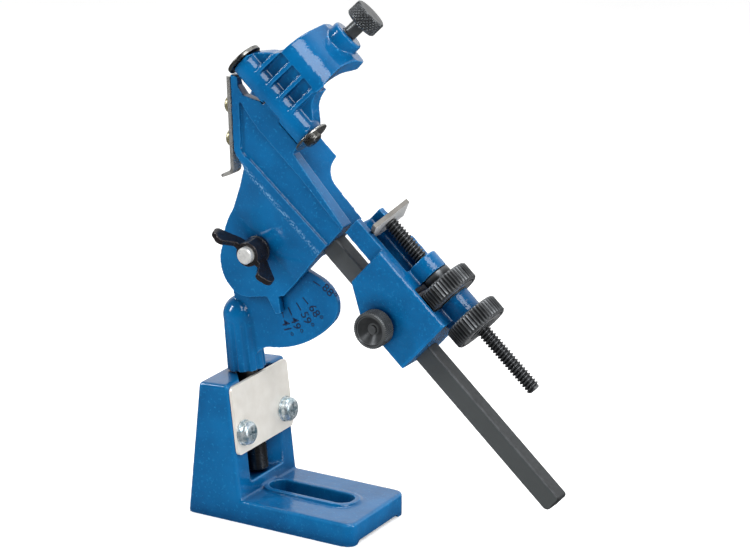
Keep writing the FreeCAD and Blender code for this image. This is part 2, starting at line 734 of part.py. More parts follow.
def neck_front():
    """The clamp arm's outline from the operator's side."""
    return prism(Vector(0, 0, 80), at_n(-50), (HINGE_FROM, 74.0), (HINGE_FROM, 85.0),
                 (-71.0, 89.0, -67.5, 93.0), (-63.0, 98.5, -62.0, 104.0), (-62.0, 125.0),
                 (-32.4, 125.0), (-32.4, 99.5),
                 (-30.5, 93.5, -26.5, 89.5), (-23.6, 87.0, HINGE_TO, 82.5), (HINGE_TO, 74.0))


def beak_trim():
    """What is taken off the neck's far end, so that it narrows and its corners are round."""
    around = block((-90.0, 98.5, -60.0), (0, 130.0, 40.0))
    keep = prism(Vector(0, 50, 0), at_w(90.0), (-62.0, 45), (-62.0, -28.5),
                 (-60.3, -33.0, -56.0, -34.6), (-38.0, -34.6),
                 (-34.6, -33.4, -33.4, -30.0), (-34.0, -25.0),
                 (-35.6, -12.0, -33.0, 3.0), (-20.0, 10.0), (-20.0, 45))
    return around.cut(keep)


def rib_pockets():
    """The wedge-shaped hollows between the ribs of the near face."""
    first = CLAMP_MIDDLE - RIB_PITCH * (RIB_COUNT - 1) / 2
    ribs = [first + RIB_PITCH * index for index in range(RIB_COUNT)]
    starts = [HINGE_FROM + 1.5] + [rib + RIB_WIDTH / 2 for rib in ribs]
    ends = [rib - RIB_WIDTH / 2 for rib in ribs] + [HINGE_TO - 2.0]
    pockets = []
    for start, end in zip(starts, ends):
        pockets.append(prism(ALONG_U * (end - start), at_u(start), (HINGE_N + 12, 82.0),
                             (HINGE_N + 2.2, 82.0), (5.2, 100.0), (HINGE_N + 12, 100.0)))
    return pockets


def hinge_eye(start, end):
    return rod(HINGE_BARREL_R, at_hinge(start), at_hinge(end))


def skirt():
    """The half shell that hides the holder's knuckle from the operator."""
    shell = hinge_eye(KNUCKLE_FROM - 1, KNUCKLE_TO + 1)
    shell = shell.cut(rod(KNUCKLE_R + KNUCKLE_GAP, at_hinge(-100), at_hinge(0)))
    low = math.radians(SKIRT_ANGLE)
    reach = 20.0
    keep = prism(ALONG_U * 60, at_u(HINGE_FROM - 5), (HINGE_N, HINGE_W),
                 (HINGE_N + reach * math.cos(low), HINGE_W + reach * math.sin(low)),
                 (HINGE_N + reach, HINGE_W + reach), (HINGE_N, HINGE_W + reach))
    return shell.common(keep)


def clamp_arm():
    arm = goose_neck().common(neck_front()).cut(beak_trim())
    arm = arm.cut(rib_pockets())
    eyes = [hinge_eye(HINGE_FROM, KNUCKLE_FROM - KNUCKLE_GAP),
            hinge_eye(KNUCKLE_TO + KNUCKLE_GAP, HINGE_TO)]
    arm = arm.fuse(eyes)
    clearance = rod(KNUCKLE_R + KNUCKLE_GAP, at_hinge(KNUCKLE_FROM - KNUCKLE_GAP),
                    at_hinge(KNUCKLE_TO + KNUCKLE_GAP))
    swing = block((KNUCKLE_FROM - KNUCKLE_GAP, HINGE_W - 12, -10),
                  (KNUCKLE_TO + KNUCKLE_GAP, HINGE_W, HINGE_N + 4))
    arm = arm.cut(clearance).cut(swing).fuse(skirt())
    boss = rod(BOSS_R, on_seat(BOSS_FROM - 5), on_seat(BOSS_TO))
    boss = boss.makeChamfer(0.8, edges_where(boss, lambda p: (p - on_seat(BOSS_TO)).Length < 0.1))
    arm = arm.fuse(boss)
    arm = arm.cut(rod(CLAMP_SCREW_R + RUN, on_seat(20), on_seat(90)))
    return arm.cut(rod(HINGE_PIN_R + RUN, at_hinge(-100), at_hinge(0)))


def hinge_pin():
    """The hinge pin, with a wide round head at the drill's end and a tapped hole at the other."""
    shank = rod(HINGE_PIN_R, at_hinge(HINGE_FROM - 0.5), at_hinge(HINGE_TO + 0.3))
    head = rod(PIN_HEAD_R, at_hinge(HINGE_FROM - 0.5 - PIN_HEAD_THICK), at_hinge(HINGE_FROM - 0.3))
    edge = edges_where(head, lambda p: p.x < HINGE_FROM - 1)
    head = head.makeFillet(0.8, edge)
    return shank.fuse(head).cut(rod(HINGE_SCREW_R, at_hinge(HINGE_TO - 14), at_hinge(0)))


def hinge_washer():
    ring = rod(HINGE_WASHER_R, at_hinge(HINGE_TO + 0.3), at_hinge(HINGE_TO + 0.3 + HINGE_WASHER_THICK))
    return ring.cut(rod(HINGE_SCREW_R + 0.15, at_hinge(-40), at_hinge(0)))


def hinge_screw():
    start = at_hinge(HINGE_TO + 0.3 + HINGE_WASHER_THICK)
    shank = rod(HINGE_SCREW_R - RUN, start - ALONG_U * 14, start)
    return shank.fuse(pan_head(HINGE_SCREW_HEAD_R, HINGE_SCREW_HEAD, start, ALONG_U))


def clamp_screw():
    shank = rod(CLAMP_SCREW_R, on_seat(PAD_FROM + PAD_THICK + 0.6), on_seat(CLAMP_KNOB_FROM))
    tip = rod(2.4, on_seat(PAD_FROM + 2.2), on_seat(PAD_FROM + PAD_THICK + 0.7))
    knob = rod(CLAMP_KNOB_R, on_seat(CLAMP_KNOB_FROM), on_seat(CLAMP_KNOB_FROM + CLAMP_KNOB_THICK))
    knob = knob.makeChamfer(0.8, rims(knob, CLAMP_KNOB_R))
    return shank.fuse([tip, knob])


def clamp_pad():
    pad = rod(PAD_R, on_seat(PAD_FROM), on_seat(PAD_FROM + PAD_THICK))
    return pad.cut(rod(2.45, on_seat(PAD_FROM + 2.0), on_seat(PAD_FROM + PAD_THICK + 1)))


# ---- tailstock ------------------------------------------------------------------------------------------------
def lug(span):
    """A rounded ear that the feed screw passes through."""
    start, end = span
    ear = rod(LUG_R, at_feed(start), at_feed(end))
    return ear.fuse(block((start, BLOCK_TOP - 5, FEED_N - LUG_R), (end, FEED_W, FEED_N + LUG_R)))


def tailstock():
    near = FEED_N + BLOCK_HALF
    far = FEED_N - BLOCK_HALF
    main = prism(ALONG_N * 2 * BLOCK_HALF, at_n(far), (BLOCK_FROM, BLOCK_TOP), (BLOCK_FROM, 42.0),
                 (72.0, BLOCK_BOTTOM), (BLOCK_TO, BLOCK_BOTTOM), (BLOCK_TO, BLOCK_TOP))
    main = main.makeChamfer(1.2, edges_where(main, lambda p: p.z > near - 0.1))
    nose = block((NOSE_FROM, NOSE_BOTTOM, FEED_N - NOSE_HALF),
                 (BLOCK_FROM + 2, BLOCK_TOP, FEED_N + NOSE_HALF))
    casting = main.fuse([nose, lug(LUG_ONE), lug(LUG_TWO)])
    inner = NOSE_HALF - NOSE_WALL
    casting = casting.cut(block((NOSE_FROM - 1, CHANNEL_FLOOR, FEED_N - inner),
                                (LUG_ONE[0], BLOCK_TOP + 20, FEED_N + inner)))
    casting = casting.cut(block((WHEEL_SLOT[0], WHEEL_SLOT_FLOOR, far - 1),
                                (WHEEL_SLOT[1], BLOCK_TOP + 30, WHEEL_SLOT_NEAR)))
    casting = casting.cut(rod(SCREW_R + RUN, at_feed(0), at_feed(200)))
    casting = casting.cut(bar_shape(BAR_GAP, 0, 200))
    bottom = Vector(LOCK_KNOB_U, BAR_MIDDLE_W, BAR_MIDDLE_N)
    return casting.cut(rod(M6_R + RUN, bottom, bottom + ALONG_N * 40))


def feed_screw():
    """The screw and the spigot that its shank plate is riveted to."""
    shank = rod(SCREW_R, at_feed(SCREW_FROM), at_feed(SCREW_TO))
    shank = shank.makeChamfer(1.0, edges_where(shank, lambda p: p.x > SCREW_TO - 0.1))
    return shank.fuse(rod(SPIGOT_R, at_feed(SCREW_FROM - SHANK_PLATE_THICK), at_feed(SCREW_FROM)))


def shank_plate():
    """The square plate that pushes the drill's shank; its tongue keeps the screw from turning."""
    start = SCREW_FROM - SHANK_PLATE_THICK
    half = SHANK_PLATE_SIDE / 2
    plate = block((start, FEED_W - half, FEED_N - half), (SCREW_FROM, FEED_W + half, FEED_N + half))
    plate = plate.rotated(at_feed(0), ALONG_U, SHANK_PLATE_TURN)
    for near, far in ((TONGUE_HALF, 40), (-40, -TONGUE_HALF)):
        plate = plate.cut(block((start - 1, 0, FEED_N + near), (SCREW_FROM + 1, SHOULDER_W, FEED_N + far)))
    plate = plate.cut(block((start - 1, 0, -60), (SCREW_FROM + 1, TONGUE_BOTTOM, 60)))
    return plate.cut(rod(SPIGOT_R + 0.05, at_feed(0), at_feed(100)))


def wheel(start, hub_start, hub_end):
    """A knurled wheel on the feed screw, with its thin hub."""
    rim = rod(WHEEL_R, at_feed(start), at_feed(start + WHEEL_THICK))
    rim = rim.makeChamfer(1.0, rims(rim, WHEEL_R))
    hub = rod(WHEEL_HUB_R, at_feed(hub_start), at_feed(hub_end))
    return rim.fuse(hub).cut(rod(SCREW_R + RUN, at_feed(0), at_feed(200)))


def feed_wheel():
    return wheel(FEED_WHEEL_FROM, WHEEL_SLOT[0] + 0.1, WHEEL_SLOT[1] - 0.1)


def lock_wheel():
    end = LOCK_WHEEL_FROM + WHEEL_THICK
    return wheel(LOCK_WHEEL_FROM, LUG_TWO[1] + 0.1, end + 0.4)


def tailstock_lock_screw():
    """The side screw that locks the tailstock on its bar, with a dished knurled knob."""
    axis = lambda n: Vector(LOCK_KNOB_U, BAR_MIDDLE_W, n)
    end = LOCK_KNOB_FROM + LOCK_KNOB_THICK
    knob = rod(LOCK_KNOB_R, axis(LOCK_KNOB_FROM), axis(end))
    knob = knob.makeChamfer(0.8, rims(knob, LOCK_KNOB_R))
    dish = cone(7.8, 5.6, axis(end), axis(end - 3.4)).cut(rod(2.9, axis(end - 4), axis(end - 0.8)))
    shank = rod(M6_R, axis(LOCK_SCREW_TIP), axis(LOCK_KNOB_FROM))
    return knob.cut(dish).fuse(shank)


# ---- the whole object ----------------------------------------------------------------------------------------------
def main():
    os.makedirs("parts", exist_ok=True)
    for name, make in (("base_casting", base_casting), ("swivel_bracket", swivel_bracket)):
        save(name, make())
    for name, make in (("lip_rest", lip_rest), ("lip_rest_screws", lip_rest_screws)):
        save(name, make(), FRONT_FRAME)
    for name, make in (("clamp_plate", clamp_plate), ("clamp_plate_washers", clamp_plate_washers),
                       ("clamp_plate_screws", clamp_plate_screws), ("pivot_post", pivot_post),
                       ("bracket_set_screw", bracket_set_screw)):
        save(name, make(), POST_FRAME)
    for name, make in (("pivot_bolt", pivot_bolt), ("pivot_washer", pivot_washer),
                       ("wing_nut", wing_nut), ("drill_holder", drill_holder),
                       ("slide_bar", slide_bar), ("slide_bar_screws", slide_bar_screws),
                       ("hinge_pin", hinge_pin), ("hinge_washer", hinge_washer),
                       ("hinge_screw", hinge_screw), ("clamp_arm", clamp_arm),
                       ("clamp_screw", clamp_screw), ("clamp_pad", clamp_pad),
                       ("tailstock", tailstock), ("tailstock_lock_screw", tailstock_lock_screw),
                       ("feed_screw", feed_screw), ("shank_plate", shank_plate),
                       ("feed_wheel", feed_wheel), ("lock_wheel", lock_wheel)):
        save(name, make(), ARM_FRAME)


main()
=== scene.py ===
"""Drill bit sharpener: finishes, threads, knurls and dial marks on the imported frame.

Lengths are metres, in the frame of the CAD model: +X to the free end of the foot, +Z up,
operator on the -Y side. Axes come from the joints, and sizes along them from the CAD nodes.
"""
import json
import math

import bmesh
import bpy
from mathutils import Matrix, Vector


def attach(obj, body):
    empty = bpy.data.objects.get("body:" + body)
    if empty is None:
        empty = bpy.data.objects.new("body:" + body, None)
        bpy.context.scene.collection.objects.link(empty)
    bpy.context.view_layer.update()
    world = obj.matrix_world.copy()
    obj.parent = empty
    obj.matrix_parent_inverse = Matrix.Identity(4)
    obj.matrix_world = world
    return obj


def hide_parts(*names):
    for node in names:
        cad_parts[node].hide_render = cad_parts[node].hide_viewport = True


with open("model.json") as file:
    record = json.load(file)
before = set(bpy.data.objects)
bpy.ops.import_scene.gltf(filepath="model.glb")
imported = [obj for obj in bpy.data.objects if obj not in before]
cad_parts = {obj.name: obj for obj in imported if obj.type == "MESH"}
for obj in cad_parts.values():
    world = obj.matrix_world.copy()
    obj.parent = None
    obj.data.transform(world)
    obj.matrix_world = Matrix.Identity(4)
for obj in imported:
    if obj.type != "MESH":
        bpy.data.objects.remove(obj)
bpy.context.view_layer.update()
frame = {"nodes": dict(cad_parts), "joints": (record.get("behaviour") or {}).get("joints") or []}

NODES = frame["nodes"]
JOINTS = {joint["name"]: joint for joint in frame["joints"]}
MM = 0.001

# ---- driving sizes -------------------------------------------------------------------
# feed screw, and the rivet that holds its plate
FEED_SCREW_R = 4.0 * MM
FEED_PITCH = 2.0 * MM
FEED_THREAD_DEPTH = 0.9 * MM
RIVET_R = 2.85 * MM
RIVET_EDGE = 0.4 * MM

# feed wheel and lock wheel
WHEEL_R = 16.0 * MM
WHEEL_THICK = 10.5 * MM
WHEEL_HUB_R = 8.0 * MM
WHEEL_EDGE = 1.0 * MM
WHEEL_TEETH = 48
WHEEL_GROOVE_IN = 2.6 * MM
WHEEL_GROOVE_HALF = 0.6 * MM
WHEEL_GROOVE_DEPTH = 0.5 * MM
WHEEL_RIM_STEPS = 4
WHEEL_BORE_GAP = 0.05 * MM
WHEEL_HUB_LEAST = 0.1 * MM
WHEEL_KNURL_DEPTH = 0.5 * MM
FEED_WHEEL_OFFSET = 4.7 * MM
LOCK_WHEEL_OFFSET = 0.7 * MM

# clamp screw
CLAMP_SCREW_R = 4.0 * MM
CLAMP_PITCH = 1.25 * MM
CLAMP_THREAD_DEPTH = 0.6 * MM
CLAMP_NECK = 7.5 * MM
CLAMP_TIP_R = 2.3 * MM
CLAMP_TIP_INSIDE = 1.5 * MM
CLAMP_KNOB_R = 9.6 * MM
CLAMP_KNOB_THICK = 9.0 * MM
CLAMP_KNOB_TEETH = 26
CLAMP_KNOB_FACE = 2.2 * MM
CLAMP_KNURL_PITCH = 2.4 * MM
CLAMP_KNURL_DEPTH = 0.75 * MM

# lock screw of the tailstock
LOCK_SHANK_R = 3.0 * MM
LOCK_PITCH = 1.0 * MM
LOCK_THREAD_DEPTH = 0.5 * MM
LOCK_KNOB_R = 10.2 * MM
LOCK_KNOB_THICK = 9.0 * MM
LOCK_KNOB_TEETH = 54
LOCK_KNURL_PITCH = 1.2 * MM
LOCK_KNURL_DEPTH = 0.4 * MM
LOCK_LIP_R = 8.5 * MM
LOCK_STEP_DEPTH = 0.5 * MM
LOCK_STEP_WIDTH = 0.4 * MM
LOCK_DISH_DEPTH = 4.0 * MM
LOCK_DISH_FLOOR_R = 3.4 * MM
LOCK_PIN_R = 2.4 * MM
LOCK_PIN_HEIGHT = 1.2 * MM
LOCK_PIN_SIDE = 1.0 * MM
LOCK_PIN_CHAMFER = 0.3 * MM

# shared by the screws and knobs; OVERLAP is how far one form runs into the next
KNOB_EDGE = 0.8 * MM
KNOB_RINGS = 44
SIDES_PER_TOOTH = 6
ROD_SIDES = 48
TIP_SIDES = 32
RINGS_PER_PITCH = 12
OVERLAP = 0.5 * MM

# line between the two halves of the holder's mould, above the pivot
SEAM_HEIGHT = 33.5 * MM
SEAM_WIDTH = 2.2 * MM

# dial: reaches from the pivot, angles in degrees; LEAN is a share of a number's turn
DIAL_FACE_Y = -4.0 * MM
DIAL_LABELS = (41, 49, 59, 68, 88)
DIAL_FIRST_ANGLE = -70.4
DIAL_TICK_FROM = 36.0 * MM
DIAL_TICK_TO = 41.0 * MM
DIAL_TICK_WIDTH = 0.7 * MM
DIAL_DIGITS_AT = 47.4 * MM
DIAL_DIGIT_SIZE = 7.2 * MM
DIAL_DIGIT_LEAN = 0.35
DIAL_INLAY = 0.06 * MM
DIAL_TICK_SINK = 0.4 * MM
DIAL_STROKE = 0.05 * MM

# tolerances, and the angles in degrees from which an edge stays sharp
WELD_REACH = 1e-6
SHARP_EDGE = 40.0
KNURL_SHARP = 30.0
ON_AXIS = 1e-7
AT_RIM = 1e-6

# floor, room and lamps; the room goes from dim to bright between two values of Y
PAPER_HALF = 6.0
PAPER_DROP = 0.1 * MM
PAPER_GLOW = 0.4
ROOM_BRIGHT = 1.0
ROOM_DIM = 0.04
ROOM_DIM_FROM = -0.05
ROOM_DIM_TO = 0.55
LIGHTS_AIM = (0.03, 0, 0.14)

# camera: angles in degrees, lens and sensor in millimetres
CAMERA_TURN = 30.2
CAMERA_RISE = 18.0
CAMERA_AIM = (0.0413, 0, 0.1498)
CAMERA_DISTANCE = 1.6
CAMERA_LENS = 141.3
CAMERA_SENSOR = 36.0
CAMERA_NEAR = 0.05


# ---- axes ----------------------------------------------------------------------------
class Axis:
    """A joint's line: a point on it, its direction, and two directions square to it."""

    def __init__(self, joint, reverse=False):
        self.origin = Vector(JOINTS[joint]["pos_m"])
        self.along = Vector(JOINTS[joint]["axis"]).normalized()
        if reverse:
            self.along = -self.along
        self.side = self.along.orthogonal().normalized()
        self.up = self.along.cross(self.side)

    def point(self, radius, distance, turn):
        """The place at a radius, a distance along and a turn about the line."""
        outwards = self.side * math.cos(turn) + self.up * math.sin(turn)
        return self.origin + self.along * distance + outwards * radius

    def span(self, node):
        """How far a CAD node reaches along the line: its two ends."""
        reach = [(vertex.co - self.origin).dot(self.along) for vertex in NODES[node].data.vertices]
        return min(reach), max(reach)


# ---- mesh tools ----------------------------------------------------------------------
def new_piece(name, shape, body, nodes=(), sharp=SHARP_EDGE):
    """An object from a bmesh that rides on a body and may stand for CAD nodes."""
    bmesh.ops.recalc_face_normals(shape, faces=shape.faces[:])
    mesh = bpy.data.meshes.new(name)
    shape.to_mesh(mesh)
    shape.free()
    for face in mesh.polygons:
        face.use_smooth = True
    mesh.set_sharp_from_angle(angle=math.radians(sharp))
    piece = bpy.data.objects.new(name, mesh)
    bpy.context.scene.collection.objects.link(piece)
    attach(piece, body)
    if nodes:
        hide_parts(*nodes)
    return piece


def turned(shape, axis, profile, sides, skin=None, closed=False):
    """Adds a lathe-turned form: (radius, distance) points swept round an axis.

    skin changes a point's radius from its radius, distance and turn, for knurls and threads.
    """
    rings = []
    for radius, distance in profile:
        if radius < ON_AXIS:
            rings.append([shape.verts.new(axis.point(0, distance, 0))])
            continue
        ring = []
        for index in range(sides):
            turn = 2 * math.pi * index / sides
            reach = skin(radius, distance, turn) if skin else radius
            ring.append(shape.verts.new(axis.point(reach, distance, turn)))
        rings.append(ring)
    pairs = list(zip(rings, rings[1:]))
    if closed:
        pairs.append((rings[-1], rings[0]))
    for one, two in pairs:
        for index in range(sides):
            after = (index + 1) % sides
            if len(one) == 1:
                shape.faces.new((one[0], two[after], two[index]))
            elif len(two) == 1:
                shape.faces.new((one[index], one[after], two[0]))
            else:
                shape.faces.new((one[index], one[after], two[after], two[index]))


def zigzag(phase):
    """A wave from 0 to 1 and back, once for each whole phase."""
    return abs((phase % 1.0) * 2 - 1)


def straight_knurl(rim, teeth, depth):
    """Grooves along the axis on the part of a profile that lies at the rim."""
    def skin(radius, distance, turn):
        if radius < rim - AT_RIM:
            return radius
        return radius - depth * zigzag(teeth * turn / (2 * math.pi))
    return skin


def diamond_knurl(rim, teeth, depth, pitch):
    """Two crossing sets of slanting grooves at the rim."""
    def skin(radius, distance, turn):
        if radius < rim - AT_RIM:
            return radius
        round_phase = teeth * turn / (2 * math.pi)
        groove = max(zigzag(round_phase + distance / pitch), zigzag(round_phase - distance / pitch))
        return radius - depth * max(0.0, groove * 2 - 1)
    return skin


def screw_thread(crest, depth, pitch):
    """A right-hand thread on the part of a profile that lies at the crest's radius."""
    def skin(radius, distance, turn):
        if radius < crest - AT_RIM:
            return radius
        wave = zigzag(distance / pitch - turn / (2 * math.pi))
        return radius - depth * min(1.0, max(0.0, wave * 2.2 - 0.6))
    return skin


def threaded_rod(shape, axis, low, high, radius, depth, pitch):
    """A rod with a thread over its whole length and a chamfer at each end."""
    chamfer = depth * 1.2
    threaded = high - low - 2 * chamfer
    steps = int(threaded / pitch * RINGS_PER_PITCH)
    profile = [(0, low), (radius - chamfer, low)]
    profile += rim_rings(radius, low + chamfer, low + chamfer + threaded, steps)
    profile += [(radius - chamfer, high), (0, high)]
    turned(shape, axis, profile, ROD_SIDES, screw_thread(radius, depth, pitch))


def rim_rings(rim, low, high, count):
    """Evenly spaced profile points along a rim."""
    return [(rim, low + (high - low) * index / count) for index in range(count + 1)]


# ---- material tools ------------------------------------------------------------------
class Shader:
    """A principled material with short calls for the nodes that these finishes share."""

    def __init__(self, name):
        self.material = bpy.data.materials.new(name)
        self.material.use_nodes = True
        self.nodes = self.material.node_tree.nodes
        self.links = self.material.node_tree.links
        self.out = self.nodes["Principled BSDF"]
        self.place = self.nodes.new("ShaderNodeTexCoord").outputs["Object"]

    def set(self, **values):
        """Fixed values of the surface, by the names of its inputs."""
        for key, value in values.items():
            self.out.inputs[key.replace("_", " ")].default_value = value

    def link(self, source, target):
        """Feeds one node's output to another's input."""
        self.links.new(source, target)

    def noise(self, scale, detail=3.0, stretch=(1, 1, 1)):
        """A cloudy pattern from 0 to 1, fixed to the object."""
        mapping = self.nodes.new("ShaderNodeMapping")
        mapping.inputs["Scale"].default_value = stretch
        texture = self.nodes.new("ShaderNodeTexNoise")
        texture.inputs["Scale"].default_value = scale
        texture.inputs["Detail"].default_value = detail
        self.link(self.place, mapping.inputs["Vector"])
        self.link(mapping.outputs["Vector"], texture.inputs["Vector"])
        return texture.outputs["Fac"]

    def ramp(self, value, low, high, start=(0, 0, 0), end=(1, 1, 1)):
        """A colour that goes from start to end while a value goes from low to high."""
        ramp = self.nodes.new("ShaderNodeValToRGB")
        ramp.color_ramp.elements[0].position = low
        ramp.color_ramp.elements[1].position = high
        ramp.color_ramp.elements[0].color = (*start, 1)
        ramp.color_ramp.elements[1].color = (*end, 1)
        self.link(value, ramp.inputs["Fac"])
        return ramp.outputs["Color"]

    def mix(self, amount, one, two):
        """One colour where the amount is 0 and another where it is 1."""
        mix = self.nodes.new("ShaderNodeMix")
        mix.data_type = "RGBA"
        self.link(amount, mix.inputs["Factor"])
        for socket, value in ((mix.inputs[6], one), (mix.inputs[7], two)):
            if isinstance(value, tuple):
                socket.default_value = (*value, 1)
            else:
                self.link(value, socket)
        return mix.outputs[2]

    def bump(self, height, strength, distance, after=None):
        """A surface raised by a height, on top of an earlier bump if there is one."""
        bump = self.nodes.new("ShaderNodeBump")
        bump.inputs["Strength"].default_value = strength
        bump.inputs["Distance"].default_value = distance
        self.link(height, bump.inputs["Height"])
        if after is not None:
            self.link(after, bump.inputs["Normal"])
        return bump.outputs["Normal"]

    def facing(self, direction):
        """1 where the surface looks along a direction or against it, 0 on the other sides."""
        dot = self.nodes.new("ShaderNodeVectorMath")
        dot.operation = "DOT_PRODUCT"
        dot.inputs[1].default_value = direction
        self.link(self.nodes.new("ShaderNodeTexCoord").outputs["Normal"], dot.inputs[0])
        size = self.nodes.new("ShaderNodeMath")
        size.operation = "ABSOLUTE"
        self.link(dot.outputs["Value"], size.inputs[0])
        return self.ramp(size.outputs[0], 0.75, 0.9)

    def stripe(self, direction, offset, width):
        """1 on a thin plane square to a direction, fading to 0 at the stripe's width."""
        dot = self.nodes.new("ShaderNodeVectorMath")
        dot.operation = "DOT_PRODUCT"
        dot.inputs[1].default_value = direction
        self.link(self.place, dot.inputs[0])
        gap = self.nodes.new("ShaderNodeMath")
        gap.operation = "SUBTRACT"
        gap.inputs[1].default_value = offset
        self.link(dot.outputs["Value"], gap.inputs[0])
        size = self.nodes.new("ShaderNodeMath")
        size.operation = "ABSOLUTE"
        self.link(gap.outputs[0], size.inputs[0])
        near = self.nodes.new("ShaderNodeMapRange")
        near.inputs["From Min"].default_value = width
        near.inputs["From Max"].default_value = 0.0
        self.link(size.outputs[0], near.inputs["Value"])
        return near.outputs["Result"]

    def hollows(self, reach):
        """0 far into hollows, 1 on open faces: the mask for painted shade."""
        shade = self.nodes.new("ShaderNodeAmbientOcclusion")
        shade.samples = 6
        shade.inputs["Distance"].default_value = reach
        return self.ramp(shade.outputs["AO"], 0.3, 0.8)

    def edges(self, low, high):
        """1 on convex edges, 0 on flat faces."""
        geometry = self.nodes.new("ShaderNodeNewGeometry")
        return self.ramp(geometry.outputs["Pointiness"], low, high)


def enamel(name, peel, peel_scale, seam=None):
    """Glossy blue enamel on cast iron, with painted shade in hollows and painted highlights on convex edges.

    peel is how strongly the surface ripples. seam is a direction and a distance along it, where
    the rough line between the two halves of the mould shows through, its specks painted lighter as glints.
    """
    shader = Shader(name)
    shader.set(Roughness=0.4, Coat_Weight=0.9, Coat_Roughness=0.04, Specular_IOR_Level=0.05)
    tone = shader.ramp(shader.noise(45.0), 0.35, 0.65, (0.0, 0.086, 0.24), (0.0, 0.12, 0.32))
    grain = shader.ramp(shader.noise(650.0, 2.0), 0.6, 0.75)
    grained = shader.mix(grain, tone, (0.005, 0.16, 0.38))
    # Painted shade: the enamel turns navy far into hollows and recesses, where shade falls.
    hollow_shade = shader.mix(shader.hollows(16.0 * MM), (0.0, 0.014, 0.07), grained)
    # Convex edges painted a lighter blue: thinner enamel there, and a painted highlight along them.
    edge_wear_and_highlight = shader.mix(shader.edges(0.515, 0.58), hollow_shade, (0.03, 0.25, 0.54))
    if seam:
        # Specks along the mould seam, painted lighter blue as glints on the rough line.
        specks = shader.ramp(shader.noise(800.0, 4.0), 0.46, 0.6)
        rough_seam_glints = shader.mix(specks, (0, 0, 0), shader.stripe(*seam, SEAM_WIDTH))
        edge_wear_and_highlight = shader.mix(rough_seam_glints, edge_wear_and_highlight, (0.14, 0.32, 0.52))
    shader.link(edge_wear_and_highlight, shader.out.inputs["Base Color"])
    flow = shader.bump(shader.noise(140.0, 2.0), 0.3, 0.6 * MM)
    ripple = shader.bump(shader.noise(peel_scale, 2.0), peel, 0.5 * MM, flow)
    shader.link(ripple, shader.out.inputs["Normal"])
    shader.link(ripple, shader.out.inputs["Coat Normal"])
    return shader.material


def metal(name, dark, light, roughness, metallic=1.0, grain=(1, 1, 1), grain_scale=350.0, wear=None,
          faced=None):
    """A metal whose tone and roughness vary a little, with lighter worn edges.

    faced is a direction and the tone of the faces that look along it: machined faces, and on the bar a
    painted sheen.
    """
    shader = Shader(name)
    shader.set(Metallic=metallic)
    pattern = shader.noise(grain_scale, 4.0, grain)
    tone = shader.ramp(pattern, 0.3, 0.7, dark, light)
    if faced:
        direction, face_tone = faced
        tone = shader.mix(shader.facing(direction), tone, face_tone)
    if wear:
        tone = shader.mix(shader.edges(0.51, 0.6), tone, wear)
    shader.link(tone, shader.out.inputs["Base Color"])
    low, high = roughness
    rough = shader.ramp(shader.noise(grain_scale * 0.4), 0.3, 0.7, (low,) * 3, (high,) * 3)
    shader.link(rough, shader.out.inputs["Roughness"])
    shader.link(shader.bump(pattern, 0.12, 0.0001), shader.out.inputs["Normal"])
    return shader.material


